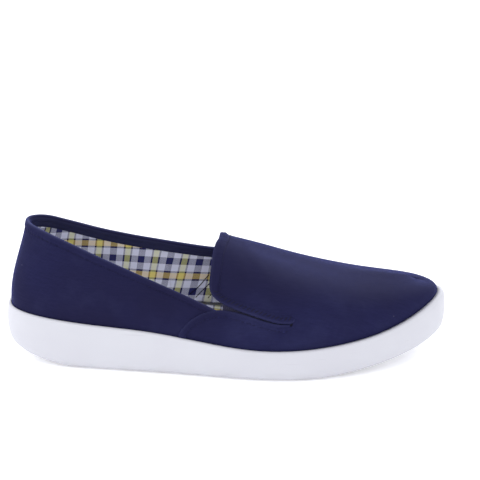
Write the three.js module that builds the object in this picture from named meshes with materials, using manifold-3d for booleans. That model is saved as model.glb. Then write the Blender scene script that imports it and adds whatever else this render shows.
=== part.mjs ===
// A laceless canvas sneaker for the right foot, in millimetres.
// +X points to the toe, +Z up, and the outer side of the foot lies on -Y. z = 0 is the ground.
// Five pieces: the rubber cupsole, the hollow upper, an elastic gore on each side, and the insole.
import * as THREE from "three";
import { mergeVertices } from "three/addons/utils/BufferGeometryUtils.js";
import Module from "manifold-3d";

// ---- sizes ----
const lastLength = 270; // heel to toe over the sole
const ballWidth = 100; // over the sole at the widest part of the forefoot
const instepHeight = 70.6; // ground to the top of the throat
const heelHeight = 82.6; // ground to the collar at the back

const canvasWall = 1.8; // canvas and lining together
const gap = 0.3; // between neighbouring pieces
const cupDepth = 8; // how far the upper goes down inside the sole
const innerGap = canvasWall + gap; // from the outside of the upper to anything worn inside it
const goreThick = 1.2;
const insoleThick = 3.2;
const insoleRound = 0.8;

const grooveDepth = 2;
const grooveWidth = 3.4;
const heelGroovesX = [24, 34, 56, 66]; // a plain pad is left in the middle of the heel
const ballGroovesX = [126, 136, 146, 172, 182, 192, 202, 212]; // and another under the ball of the foot
const grooveMargin = 10; // rubber left round the grooves
const grooveSweep = 5; // how far forward the point of each groove lies
const cutterBelow = 5; // how far the groove cutters reach below the ground

const aroundCount = 84; // sections round the shoe, an even number so that the two sides pair up
const ribSteps = 11; // steps from the sole up to the ridge

// ---- the last ----
// One row per section, round the shoe: heel back, outer side, toe tip, inner side, heel back.
// x y z: where the upper meets the sole (x in hundredths of the length, y in hundredths of the ball width).
// lip: how far the sole stands out there. base: how far the tread is off the ground.
// tx ty tz: where the section ends, on the ridge or above the collar.
// lean: outward tilt at the sole. rise: fullness low down. drop: tilt at the ridge. reach: fullness high up.
const columns = ["x", "y", "z", "lip", "base", "tx", "ty", "tz", "lean", "rise", "drop", "reach"];
const sectionTable = [
  [1.1, 0, 32.1, 1.8, 10.7, 4.8, 0, 88, -3, 0.34, 84, 0.3],
  [1.85, -19, 32.9, 2.1, 9.5, 6.85, -11, 88, 8, 0.35, 84, 0.3],
  [8.15, -31, 31.3, 2.4, 2.8, 12.59, -17.5, 88, 10, 0.35, 82, 0.3],
  [20.37, -36.5, 28.3, 2.4, -2.5, 22.22, -21, 88, 9, 0.35, 80, 0.3],
  [33.33, -40.5, 26.9, 2.4, -0.3, 31.11, -20, 87, 8, 0.35, 74, 0.3],
  [45.19, -45, 22, 2.6, -0.3, 39.26, -12, 77.5, 9, 0.36, 40, 0.32],
  [57.41, -51.5, 18.2, 2.8, -1.5, 48.89, 2, 72, 12, 0.4, 5, 0.45],
  [70.37, -49.5, 19.4, 3, -0.6, 61.11, 6, 57, 14, 0.4, 5, 0.5],
  [84.44, -34.5, 23.8, 3.4, 4.2, 76.67, 8.5, 47, 14, 0.42, 6, 0.5],
  [94.07, -13, 32.9, 4, 9.8, 90, 11.5, 44.8, 5, 0.4, 9, 0.5],
  [98.9, 11, 38.5, 4.4, 14.6, 93.6, 13, 40.6, -25, 0.36, 14, 0.5],
  [94.07, 31, 32.9, 4, 9.8, 90, 11.5, 44.8, 5, 0.4, 9, 0.5],
  [82.22, 42, 23.8, 3.2, 4.2, 76.67, 8.5, 47, 14, 0.42, 6, 0.5],
  [69.63, 43.5, 19.6, 3, -0.6, 61.11, 6, 57, 12, 0.4, 5, 0.5],
  [55.56, 36.5, 18.4, 2.8, -1.5, 48.89, 2, 72, 9, 0.4, 5, 0.45],
  [43.7, 30, 22.3, 2.6, -0.3, 39.26, 14, 77.5, 10, 0.36, 40, 0.32],
  [32.59, 29.5, 26.9, 2.4, -0.3, 31.11, 20, 87, 9, 0.35, 74, 0.3],
  [20.37, 32, 28.3, 2.4, -2.5, 22.22, 21, 88, 9, 0.35, 80, 0.3],
  [8.15, 31, 31.3, 2.4, 2.8, 12.59, 17.5, 88, 10, 0.35, 82, 0.3],
  [1.85, 19, 32.9, 2.1, 9.5, 6.85, 11, 88, 8, 0.35, 84, 0.3],
];
const sections = sectionTable.map((row) => Object.fromEntries(columns.map((name, i) => [name, row[i]])));
const sectionCount = sections.length;
for (const section of sections) {
  section.x *= lastLength / 100;
  section.tx *= lastLength / 100;
  section.y *= ballWidth / 100;
  section.ty *= ballWidth / 100;
}

// ---- edges seen from the side, as rows of [x, height] ----
// The collar falls from the heel to the gore, then the gore's slit runs forward, and the throat climbs again.
const collarOuter = [
  [-20, heelHeight + 1],
  [10, heelHeight],
  [18, heelHeight - 1],
  [26, 79.6],
  [35, 76.8],
  [46, 73],
  [62, 67],
  [76, 61.8],
  [95, 54.6],
  [114, 47.6],
  [126, 43],
  [131, 41.2],
];
const slitOuter = [
  [172.3, 35.2],
  [161, 37.2],
  [152.5, 39.8],
  [145.2, 41.8],
  [135, 45.8],
];
const collarInner = [
  [-20, heelHeight + 1],
  [10, heelHeight],
  [18, heelHeight - 1],
  [26, 79.4],
  [37, 75],
  [55, 68.8],
  [74, 64.3],
  [92, 61.3],
  [108, 58.9],
  [122, 56.8],
  [130, 55.8],
];
const slitInner = [
  [164, 49.4],
  [133, 64.2],
];
const throatOuter = [
  [130.5, 48.2],
  [128, 51.5],
  [127.2, 58],
  [128.4, 66],
  [130, instepHeight + 0.6],
];
const throatInner = [
  [130.6, 66.2],
  [129.6, 69],
  [130, instepHeight + 0.6],
];
const cutTop = 120;
const collarSteps = 26;
const throatSteps = 8;
const halvesMeetY = 1.5; // where the cut for one side stops and the other begins
const goreInnerFromY = 6;

// gore panels, each a little larger than its slit, seen from the side
const goreOuterShape = [
  [132.4, 36.6],
  [133.8, 41],
  [134.3, 46],
  [137, 49.5],
  [178, 39],
  [178, 31.5],
  [160, 32],
];
const goreInnerShape = [
  [127.5, 49.2],
  [131.5, 65.4],
  [135, 67.6],
  [169, 52.5],
  [169, 46.5],
];

/** More points along a row of points, on a smooth curve through them. */
function smoothed(points, count) {
  const curve = new THREE.SplineCurve(points.map(([x, z]) => new THREE.Vector2(x, z)));
  return curve.getPoints(count).map((p) => [p.x, p.y]);
}

// ---- curves and surfaces ----
const wrap = (i) => ((i % sectionCount) + sectionCount) % sectionCount;

/** A column of the sections at t, as a closed uniform cubic spline. */
function column(name, t) {
  const i = Math.floor(t);
  const u = t - i;
  const [a, b, c, d] = [-1, 0, 1, 2].map((k) => sections[wrap(i + k)][name]);
  const wa = (1 - u) ** 3;
  const wb = 3 * u ** 3 - 6 * u ** 2 + 4;
  const wc = -3 * u ** 3 + 3 * u ** 2 + 3 * u + 1;
  const wd = u ** 3;
  return (a * wa + b * wb + c * wc + d * wd) / 6;
}

/** The outward direction of the outline at t, in plan. */
function outward(t) {
  const h = 0.001;
  const dx = column("x", t + h) - column("x", t - h);
  const dy = column("y", t + h) - column("y", t - h);
  return new THREE.Vector3(dy, -dx, 0).normalize();
}

/** The line where the upper meets the sole, moved out by `out` and up by `up`. */
function footAt(t, out = 0, up = 0) {
  const point = new THREE.Vector3(column("x", t), column("y", t), column("z", t) + up);
  return point.addScaledVector(outward(t), out);
}

/** The outside of the upper: t goes round the shoe, v from the sole (0) to the ridge (1). */
function skin(t, v) {
  const foot = footAt(t);
  const top = new THREE.Vector3(column("tx", t), column("ty", t), column("tz", t));
  const chord = top.distanceTo(foot);
  const lean = THREE.MathUtils.degToRad(column("lean", t));
  const drop = THREE.MathUtils.degToRad(column("drop", t));
  const side = new THREE.Vector3(foot.x - top.x, foot.y - top.y, 0).normalize();
  const low = outward(t).multiplyScalar(Math.sin(lean));
  low.z = Math.cos(lean);
  low.multiplyScalar(chord * column("rise", t)).add(foot);
  const high = side.multiplyScalar(Math.cos(drop));
  high.z = -Math.sin(drop);
  high.multiplyScalar(chord * column("reach", t)).add(top);
  return new THREE.CubicBezierCurve3(foot, low, high, top).getPoint(v);
}

/** The outward normal of the skin. */
function skinNormal(t, v) {
  const h = 0.01;
  const w = Math.min(v, 0.95);
  const along = skin(t + h, w).sub(skin(t - h, w));
  const up = skin(t, w + h).sub(skin(t, Math.max(w - h, 0)));
  return along.cross(up).normalize();
}

/** The skin moved inward by `inset`; where the two sides share the ridge they stay joined. */
function insetSkin(t, v, inset) {
  const point = skin(t, v).addScaledVector(skinNormal(t, v), -inset);
  if (v < 1) return point;
  const partner = sectionCount - t;
  if (skin(t, 1).distanceTo(skin(partner, 1)) > 1e-6) return point;
  return point.add(skin(partner, 1).addScaledVector(skinNormal(partner, 1), -inset)).multiplyScalar(0.5);
}

const aroundT = Array.from({ length: aroundCount }, (_, i) => (sectionCount * i) / aroundCount);
const ring = (pointAt) => aroundT.map(pointAt);

// ---- closed solids from rings ----
const wasm = await Module();
wasm.setup();

/** A manifold solid from a list of triangles given as points. */
function solidFromTriangles(triangles) {
  const positions = triangles.flat().flatMap((p) => [p.x, p.y, p.z]);
  const soup = new THREE.BufferGeometry();
  soup.setAttribute("position", new THREE.Float32BufferAttribute(positions, 3));
  const merged = mergeVertices(soup, 1e-4);
  const index = merged.index.array;
  const kept = [];
  for (let i = 0; i < index.length; i += 3) {
    const [a, b, c] = [index[i], index[i + 1], index[i + 2]];
    if (a !== b && b !== c && c !== a) kept.push(a, b, c);
  }
  return new wasm.Manifold(
    new wasm.Mesh({
      numProp: 3,
      vertProperties: merged.attributes.position.array,
      triVerts: new Uint32Array(kept),
    }),
  );
}

/** Triangles that close a ring by joining each point of one side with its partner on the other. */
function ladder(points, up) {
  const half = points.length / 2;
  const out = [];
  for (let i = 0; i < half; i++) {
    const a = points[i];
    const b = points[i + 1];
    const c = points[(points.length - i - 1) % points.length];
    const d = points[(points.length - i) % points.length];
    const pair = i === 0 ? [[a, b, c]] : [[a, b, c], [a, c, d]];
    for (const [p, q, r] of pair) out.push(up ? [p, q, r] : [p, r, q]);
  }
  return out;
}

/** A closed solid from rings listed from the underside, up the outside, to the lid. */
function solidFromRings(rings) {
  const out = ladder(rings[0], false);
  for (let k = 1; k < rings.length; k++) {
    for (let i = 0; i < aroundCount; i++) {
      const j = (i + 1) % aroundCount;
      out.push([rings[k - 1][i], rings[k - 1][j], rings[k][j]]);
      out.push([rings[k - 1][i], rings[k][j], rings[k][i]]);
    }
  }
  return solidFromTriangles(out.concat(ladder(rings.at(-1), true)));
}

/** The whole last, moved in by `inset`, reaching `depth` below the line where it meets the sole. */
function lastSolid(inset, depth) {
  const rings = [ring((t) => footAt(t, -inset, -depth)), ring((t) => footAt(t, -inset, -depth / 2))];
  for (let k = 0; k <= ribSteps; k++) rings.push(ring((t) => insetSkin(t, k / ribSteps, inset)));
  return solidFromRings(rings);
}

/** A flat shape seen from the side, made solid between two values of y. */
function sidePrism(points, fromY, toY) {
  const shape = new THREE.Shape(points.map(([x, z]) => new THREE.Vector2(x, z)));
  const flat = new THREE.ExtrudeGeometry(shape, { depth: toY - fromY, bevelEnabled: false });
  flat.rotateX(Math.PI / 2).translate(0, toY, 0);
  return solidFromGeometry(flat);
}

/** A three.js geometry as a manifold solid. */
function solidFromGeometry(geometry) {
  const plain = geometry.index ? geometry.toNonIndexed() : geometry;
  const p = plain.attributes.position;
  const triangles = [];
  for (let i = 0; i < p.count; i += 3) {
    triangles.push([0, 1, 2].map((k) => new THREE.Vector3().fromBufferAttribute(p, i + k)));
  }
  return solidFromTriangles(triangles);
}

// ---- the sole ----
// Rows up the outside of the sole: share of the height, extra height in mm, and how far out.
const wallColumns = ["share", "lift", "out"];
const wallTable = [
  [0, 0, -6.5],
  [0, 0.5, -3.4],
  [0, 1.7, -1.4],
  [0, 4.2, 0],
  [0.4, 1.5, 0.9],
  [0.75, 0, 0.7],
  [1, -1.6, 0.1],
  [1, -0.5, -0.5],
  [1, -0.1, -1.4],
];
const wallRows = wallTable.map((row) => Object.fromEntries(wallColumns.map((name, i) => [name, row[i]])));
const treadAt = (t) => Math.max(0, column("base", t));
const wallRings = wallRows.map((row) =>
  ring((t) => {
    const point = footAt(t, column("lip", t) + row.out);
    const base = treadAt(t);
    point.z = base + (point.z - base) * row.share + row.lift;
    return point;
  }),
);
const cupRings = [-0.1, -cupDepth / 2, -cupDepth].map((up) => ring((t) => footAt(t, gap, up)));

const outerSideT = [1, 9]; // sections of the outer side, heel to toe
const innerSideT = [19, 11]; // and of the inner side
const halvings = 30;

/** Where the outline passes a given x, between two sections, found by halving. */
function sideAt(x, [from, to]) {
  let [a, b] = [from, to];
  for (let k = 0; k < halvings; k++) {
    const middle = (a + b) / 2;
    if (column("x", middle) < x) a = middle;
    else b = middle;
  }
  return column("y", a);
}

/** One groove across the tread: a shallow arrow pointing to the toe. */
function groove(x) {
  const outerY = sideAt(x, outerSideT) + grooveMargin;
  const innerY = sideAt(x, innerSideT) - grooveMargin;
  const middleY = (outerY + innerY) / 2;
  const line = [
    [x, outerY],
    [x + grooveSweep, middleY],
    [x, innerY],
  ];
  const front = line.map(([px, py]) => new THREE.Vector2(px + grooveWidth / 2, py));
  const back = line.map(([px, py]) => new THREE.Vector2(px - grooveWidth / 2, py)).reverse();
  const flat = new THREE.ExtrudeGeometry(new THREE.Shape([...front, ...back]), {
    depth: grooveDepth + cutterBelow,
    bevelEnabled: false,
  });
  flat.translate(0, 0, -cutterBelow);
  return solidFromGeometry(flat);
}

let soleSolid = solidFromRings([...wallRings, ...cupRings]);
for (const x of [...heelGroovesX, ...ballGroovesX]) soleSolid = soleSolid.subtract(groove(x));

// ---- the upper ----
const skirt = cupDepth - gap;
const hollowDepth = skirt + 3; // the inner last reaches lower, so that the upper is open underneath
const farY = 90; // well outside the shoe on either side
/** Everything cut away on one side: above the collar, through the slit and behind the throat. */
function sideCut(collar, slit, throat, fromY, toY) {
  const edge = [...smoothed(collar, collarSteps), ...slit, ...smoothed(throat, throatSteps)];
  return sidePrism([...edge, [edge.at(-1)[0], cutTop], [edge[0][0], cutTop]], fromY, toY);
}
const cutOuter = sideCut(collarOuter, slitOuter, throatOuter, -farY, halvesMeetY);
const cutInner = sideCut(collarInner, slitInner, throatInner, halvesMeetY, farY);
const upperSolid = lastSolid(0, skirt)
  .subtract(lastSolid(canvasWall, hollowDepth))
  .subtract(cutOuter)
  .subtract(cutInner);

// ---- the gores, worn behind their slits ----
const goreLayer = lastSolid(innerGap, skirt).subtract(lastSolid(innerGap + goreThick, hollowDepth));
const goreOuterSolid = goreLayer.intersect(sidePrism(goreOuterShape, -farY, 0));
const goreInnerSolid = goreLayer.intersect(sidePrism(goreInnerShape, goreInnerFromY, farY));

// ---- the insole ----
const insoleRings = [
  [innerGap, gap],
  [innerGap, gap + insoleThick - insoleRound],
  [innerGap + insoleRound, gap + insoleThick],
].map(([inset, lift]) => ring((t) => footAt(t, -inset, lift - cupDepth)));
const insoleSolid = solidFromRings(insoleRings);

// ---- named meshes ----
const finishes = {
  rubber: { color: 0xe4e4ee, roughness: 0.55, metalness: 0 },
  canvas: { color: 0x2b2a4a, roughness: 0.9, metalness: 0 },
  elastic: { color: 0x26223a, roughness: 0.95, metalness: 0 },
  sock: { color: 0xd9d8e0, roughness: 0.9, metalness: 0 },
};
const assemblies = {
  bottom: [
    ["sole", soleSolid, finishes.rubber],
    ["insole", insoleSolid, finishes.sock],
  ],
  upperAssembly: [
    ["upper", upperSolid, finishes.canvas],
    ["gore_outer", goreOuterSolid, finishes.elastic],
    ["gore_inner", goreInnerSolid, finishes.elastic],
  ],
};

/** A three.js geometry from a manifold solid. */
function geometryOf(solid) {
  const mesh = solid.getMesh();
  const geometry = new THREE.BufferGeometry();
  geometry.setAttribute("position", new THREE.BufferAttribute(Float32Array.from(mesh.vertProperties), 3));
  geometry.setIndex(new THREE.BufferAttribute(Uint32Array.from(mesh.triVerts), 1));
  return geometry;
}

const onTheLast = new THREE.Group();
for (const [assemblyName, pieces] of Object.entries(assemblies)) {
  const assembly = new THREE.Group();
  assembly.name = assemblyName;
  for (const [name, solid, finish] of pieces) {
    const geometry = geometryOf(solid).toNonIndexed();
    geometry.computeVertexNormals();
    const mesh = new THREE.Mesh(geometry, new THREE.MeshStandardMaterial(finish));
    mesh.name = name;
    assembly.add(mesh);
  }
  onTheLast.add(assembly);
}

// the shoe stands with the middle of its footprint over the origin
const bounds = new THREE.Box3().setFromObject(onTheLast);
const middle = bounds.getCenter(new THREE.Vector3());
onTheLast.position.set(-middle.x, -middle.y, -bounds.min.z);

const shoe = new THREE.Group();
shoe.name = "shoe";
shoe.add(onTheLast);

export default shoe;
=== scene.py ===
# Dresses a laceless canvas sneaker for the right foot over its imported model: canvas, lining, elastic,
# stitching, rubber and the insole's cloth. Shapes are worked out in millimetres on the last, then put
# in the frame.
import math

import bmesh
import bpy
import numpy as np
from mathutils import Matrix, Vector


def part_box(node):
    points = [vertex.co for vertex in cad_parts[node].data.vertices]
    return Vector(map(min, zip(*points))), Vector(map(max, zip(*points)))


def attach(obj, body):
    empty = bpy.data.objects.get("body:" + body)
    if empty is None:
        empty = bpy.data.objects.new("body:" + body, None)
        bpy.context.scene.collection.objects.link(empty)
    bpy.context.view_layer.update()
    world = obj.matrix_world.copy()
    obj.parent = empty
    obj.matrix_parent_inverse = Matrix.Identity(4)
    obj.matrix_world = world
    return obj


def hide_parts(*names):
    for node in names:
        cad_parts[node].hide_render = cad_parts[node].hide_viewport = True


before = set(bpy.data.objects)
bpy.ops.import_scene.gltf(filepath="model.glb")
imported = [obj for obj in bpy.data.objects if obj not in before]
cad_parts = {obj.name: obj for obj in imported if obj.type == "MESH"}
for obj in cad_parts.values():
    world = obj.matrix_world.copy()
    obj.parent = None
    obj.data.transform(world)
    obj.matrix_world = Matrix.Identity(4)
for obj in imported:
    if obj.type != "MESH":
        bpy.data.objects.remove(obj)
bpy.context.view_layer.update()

seed = 7

camera = {
    "place": (0.04247, -0.9348, 0.38232),  # metres, in front of the outer side
    "aim": (0.0079, 0.0139, 0.06665),
    "lens": 123.3,
}
eye = bpy.data.objects.new("camera", bpy.data.cameras.new("camera"))
eye.data.lens = camera["lens"]
eye.data.sensor_width = 36
eye.data.clip_start = 0.05
eye.data.clip_end = 20
eye.location = camera["place"]
aimDirection = Vector(camera["aim"]) - Vector(camera["place"])
eye.rotation_euler = aimDirection.to_track_quat("-Z", "Y").to_euler()
bpy.context.scene.collection.objects.link(eye)
bpy.context.scene.camera = eye
print("camera placed")

# One row per section, round the shoe: heel back, outer side, toe tip, inner side, heel back.
# x y z: where the upper meets the sole. x and tx are in hundredths of the length, y and ty in hundredths
# of the ball width, rise and reach are shares of the rib, and the rest is in mm and degrees.
# lip: how far the sole stands out there. base: how far the tread is off the ground.
# tx ty tz: where the section ends, on the ridge or above the collar.
# lean: outward tilt at the sole. rise: fullness low down. drop: tilt at the ridge. reach: fullness high up.
lastSize = {"length": 270, "ballWidth": 100}
sectionColumns = "x y z lip base tx ty tz lean rise drop reach".split()
sectionRows = [
    (1.1, 0, 32.1, 1.8, 10.7, 4.8, 0, 88, -3, 0.34, 84, 0.3),
    (1.85, -19, 32.9, 2.1, 9.5, 6.85, -11, 88, 8, 0.35, 84, 0.3),
    (8.15, -31, 31.3, 2.4, 2.8, 12.59, -17.5, 88, 10, 0.35, 82, 0.3),
    (20.37, -36.5, 28.3, 2.4, -2.5, 22.22, -21, 88, 9, 0.35, 80, 0.3),
    (33.33, -40.5, 26.9, 2.4, -0.3, 31.11, -20, 87, 8, 0.35, 74, 0.3),
    (45.19, -45, 22, 2.6, -0.3, 39.26, -12, 77.5, 9, 0.36, 40, 0.32),
    (57.41, -51.5, 18.2, 2.8, -1.5, 48.89, 2, 72, 12, 0.4, 5, 0.45),
    (70.37, -49.5, 19.4, 3, -0.6, 61.11, 6, 57, 14, 0.4, 5, 0.5),
    (84.44, -34.5, 23.8, 3.4, 4.2, 76.67, 8.5, 47, 14, 0.42, 6, 0.5),
    (94.07, -13, 32.9, 4, 9.8, 90, 11.5, 44.8, 5, 0.4, 9, 0.5),
    (98.9, 11, 38.5, 4.4, 14.6, 93.6, 13, 40.6, -25, 0.36, 14, 0.5),
    (94.07, 31, 32.9, 4, 9.8, 90, 11.5, 44.8, 5, 0.4, 9, 0.5),
    (82.22, 42, 23.8, 3.2, 4.2, 76.67, 8.5, 47, 14, 0.42, 6, 0.5),
    (69.63, 43.5, 19.6, 3, -0.6, 61.11, 6, 57, 12, 0.4, 5, 0.5),
    (55.56, 36.5, 18.4, 2.8, -1.5, 48.89, 2, 72, 9, 0.4, 5, 0.45),
    (43.7, 30, 22.3, 2.6, -0.3, 39.26, 14, 77.5, 10, 0.36, 40, 0.32),
    (32.59, 29.5, 26.9, 2.4, -0.3, 31.11, 20, 87, 9, 0.35, 74, 0.3),
    (20.37, 32, 28.3, 2.4, -2.5, 22.22, 21, 88, 9, 0.35, 80, 0.3),
    (8.15, 31, 31.3, 2.4, 2.8, 12.59, 17.5, 88, 10, 0.35, 82, 0.3),
    (1.85, 19, 32.9, 2.1, 9.5, 6.85, 11, 88, 8, 0.35, 84, 0.3),
]
sectionCount = len(sectionRows)
toeT = sectionCount / 2
sections = {name: np.array([row[i] for row in sectionRows], float) for i, name in enumerate(sectionColumns)}
for name in ("x", "tx"):
    sections[name] *= lastSize["length"] / 100
for name in ("y", "ty"):
    sections[name] *= lastSize["ballWidth"] / 100


# a column of the sections at t, as a closed uniform cubic spline
def column(name, t):
    t = np.asarray(t, float) % sectionCount
    i = np.floor(t).astype(int)
    u = t - i
    a, b, c, d = (sections[name][(i + k - 1) % sectionCount] for k in range(4))
    bulk = (3 * u**3 - 6 * u**2 + 4) * b + (-3 * u**3 + 3 * u**2 + 3 * u + 1) * c
    return ((1 - u) ** 3 * a + bulk + u**3 * d) / 6


def unit(v):
    return v / np.maximum(np.linalg.norm(v, axis=-1, keepdims=True), 1e-12)


# the outward direction of the outline at t, in plan
def outward(t, step=1e-3):
    t = np.asarray(t, float)
    dx = column("x", t + step) - column("x", t - step)
    dy = column("y", t + step) - column("y", t - step)
    return unit(np.stack([dy, -dx, 0 * dx], -1))


# the line where the upper meets the sole, moved out and up
def footAt(t, out=0.0, up=0.0):
    point = np.stack([column("x", t), column("y", t), column("z", t) + up], -1)
    return point + outward(t) * np.asarray(out)[..., None]


# the outside of the last: t round the shoe, v from the sole (0) to the ridge (1)
def skin(t, v):
    t, v = np.broadcast_arrays(np.asarray(t, float), np.asarray(v, float))
    foot = footAt(t)
    top = np.stack([column("tx", t), column("ty", t), column("tz", t)], -1)
    chord = np.linalg.norm(top - foot, axis=-1)[..., None]
    lean = np.radians(column("lean", t))[..., None]
    drop = np.radians(column("drop", t))[..., None]
    up = np.array([0, 0, 1.0])
    side = foot - top
    side[..., 2] = 0
    low = foot + chord * column("rise", t)[..., None] * (outward(t) * np.sin(lean) + up * np.cos(lean))
    high = top + chord * column("reach", t)[..., None] * (unit(side) * np.cos(drop) - up * np.sin(drop))
    w = v[..., None]
    return (1 - w) ** 3 * foot + 3 * w * (1 - w) ** 2 * low + 3 * w**2 * (1 - w) * high + w**3 * top


def skinNormal(t, v, step=0.01):
    v = np.minimum(v, 0.95)
    along = skin(t + step, v) - skin(t - step, v)
    up = skin(t, v + step) - skin(t, np.maximum(v - step, 0))
    return unit(np.cross(along, up))


# a smooth line through a row of points
def smoothLine(points, steps=10):
    p = np.asarray(points, float)
    p = np.concatenate([[2 * p[0] - p[1]], p, [2 * p[-1] - p[-2]]])
    u = np.arange(steps)[:, None] / steps
    out = []
    for a, b, c, d in zip(p, p[1:], p[2:], p[3:]):
        bend = (2 * a - 5 * b + 4 * c - d) * u**2 + (3 * b - a - 3 * c + d) * u**3
        out.append(0.5 * (2 * b + (c - a) * u + bend))
    return np.concatenate(out + [[p[-2]]])


def smoothStep(low, high, value):
    u = np.clip((np.asarray(value, float) - low) / (high - low), 0, 1)
    return u * u * (3 - 2 * u)


# the middle of the sole's footprint lies over the origin of the frame
ringT = np.linspace(0, sectionCount, 840, endpoint=False)
soleRing = footAt(ringT, column("lip", ringT) + 0.9)
soleCorners = [np.array(corner) * 1000 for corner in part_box("sole")]
shoeMiddle = (soleRing.min(0) + soleRing.max(0)) / 2 - (soleCorners[0] + soleCorners[1]) / 2
shoeMiddle[2] = -soleCorners[0][2]


def toFrame(points):
    return (np.asarray(points, float) - shoeMiddle) / 1000


weld = {"points": 4e-6, "slivers": 1e-7}  # metres; anything closer is joined or dropped


# faces is a list of index rows; cloth is the place of each corner point on the cloth, in mm
def newPiece(name, points, faces, finish, slot, cloth=None, worn=None, replaces=(), outside=False,
             smooth=True):
    mesh = bpy.data.meshes.new(name)
    mesh.from_pydata(toFrame(points).tolist(), [], [list(map(int, face)) for face in faces])
    if cloth is not None:
        layer = mesh.uv_layers.new(name="cloth")
        corners = np.zeros(len(mesh.loops), int)
        mesh.loops.foreach_get("vertex_index", corners)
        layer.data.foreach_set("uv", np.asarray(cloth, np.float32)[corners].ravel())
    # a per-point share of paleness for the canvas: rubbing, and a painted highlight along the tops of folds
    if worn is not None:
        mesh.attributes.new("worn", "FLOAT", "POINT").data.foreach_set("value", np.asarray(worn, np.float32))
    work = bmesh.new()
    work.from_mesh(mesh)
    bmesh.ops.remove_doubles(work, verts=work.verts, dist=weld["points"])
    bmesh.ops.dissolve_degenerate(work, edges=work.edges, dist=weld["slivers"])
    if outside:
        bmesh.ops.recalc_face_normals(work, faces=work.faces)
    work.to_mesh(mesh)
    work.free()
    mesh.polygons.foreach_set("use_smooth", [smooth] * len(mesh.polygons))
    mesh.materials.append(finish)
    piece = bpy.data.objects.new(name, mesh)
    bpy.context.scene.collection.objects.link(piece)
    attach(piece, "root")
    if replaces:
        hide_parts(*replaces)
    return piece


# quads between the rows of a grid of points; wrap joins the last row or column to the first
def gridFaces(rows, columns, wrapRows=False, wrapColumns=False, start=0):
    spans = (np.arange(rows - (not wrapRows)), np.arange(columns - (not wrapColumns)))
    i, j = np.meshgrid(*spans, indexing="ij")
    nextI = (i + 1) % rows
    nextJ = (j + 1) % columns
    quads = np.stack([i * columns + j, nextI * columns + j, nextI * columns + nextJ, i * columns + nextJ], -1)
    return (quads.reshape(-1, 4) + start).tolist()


# several grids or shells in one piece
class Parts:
    def __init__(self):
        self.points = []
        self.cloth = []
        self.worn = []
        self.faces = []
        self.count = 0

    def add(self, points, faces, cloth=None, worn=None):
        points = np.asarray(points, float).reshape(-1, 3)
        self.faces += [[index + self.count for index in face] for face in faces]
        self.points.append(points)
        self.cloth.append(np.zeros((len(points), 2)) if cloth is None else np.asarray(cloth).reshape(-1, 2))
        self.worn.append(np.zeros(len(points)) if worn is None else np.asarray(worn, float).ravel())
        self.count += len(points)

    def grid(self, points, cloth=None, worn=None, wrapRows=False, wrapColumns=False, caps=False):
        rows, columns = points.shape[:2]
        faces = gridFaces(rows, columns, wrapRows, wrapColumns)
        if caps:
            faces += [list(range(columns))[::-1], [(rows - 1) * columns + k for k in range(columns)]]
        self.add(points, faces, cloth, worn)

    def piece(self, name, finish, slot, **options):
        points = np.concatenate(self.points)
        worn = np.concatenate(self.worn)
        return newPiece(name, points, self.faces, finish, slot, np.concatenate(self.cloth), worn, **options)


def paint(red, green, blue):
    shares = [value / 255 for value in (red, green, blue)]
    return tuple(s / 12.92 if s <= 0.04045 else ((s + 0.055) / 1.055) ** 2.4 for s in shares) + (1.0,)


class Nodes:
    def __init__(self, tree):
        self.tree = tree

    def add(self, kind, inputs=None, **settings):
        node = self.tree.nodes.new(kind)
        for key, value in settings.items():
            setattr(node, key, value)
        for key, value in (inputs or {}).items():
            self.feed(node.inputs[key], value)
        return node

    def feed(self, socket, value):
        if isinstance(value, bpy.types.NodeSocket):
            self.tree.links.new(value, socket)
        elif isinstance(value, bpy.types.Node):
            self.tree.links.new(value.outputs[0], socket)
        else:
            socket.default_value = value

    def math(self, operation, a, b=0.0, c=0.0, clamp=False):
        return self.add("ShaderNodeMath", {0: a, 1: b, 2: c}, operation=operation, use_clamp=clamp).outputs[0]

    def span(self, value, fromLow, fromHigh, toLow=0.0, toHigh=1.0):
        keys = {"Value": value, "From Min": fromLow, "From Max": fromHigh, "To Min": toLow, "To Max": toHigh}
        return self.add("ShaderNodeMapRange", keys).outputs[0]

    def mix(self, share, a, b, kind="MIX"):
        node = self.add("ShaderNodeMix", data_type="RGBA", blend_type=kind)
        self.feed(node.inputs[0], share)
        self.feed(node.inputs[6], a)
        self.feed(node.inputs[7], b)
        return node.outputs[2]

    def noise(self, vector, scale, detail=3.0, roughness=0.5):
        keys = {"Vector": vector, "Scale": scale, "Detail": detail, "Roughness": roughness}
        return self.add("ShaderNodeTexNoise", keys).outputs[0]


def shaderGroup(name, inputs, outputs):
    tree = bpy.data.node_groups.new(name, "ShaderNodeTree")
    for key, kind, value in inputs:
        socket = tree.interface.new_socket(key, in_out="INPUT", socket_type=kind)
        if value is not None:
            socket.default_value = value
    for key, kind in outputs:
        tree.interface.new_socket(key, in_out="OUTPUT", socket_type=kind)
    nodes = Nodes(tree)
    return tree, nodes, nodes.add("NodeGroupInput").outputs, nodes.add("NodeGroupOutput").inputs


floatKind = "NodeSocketFloat"
vectorKind = "NodeSocketVector"


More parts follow.
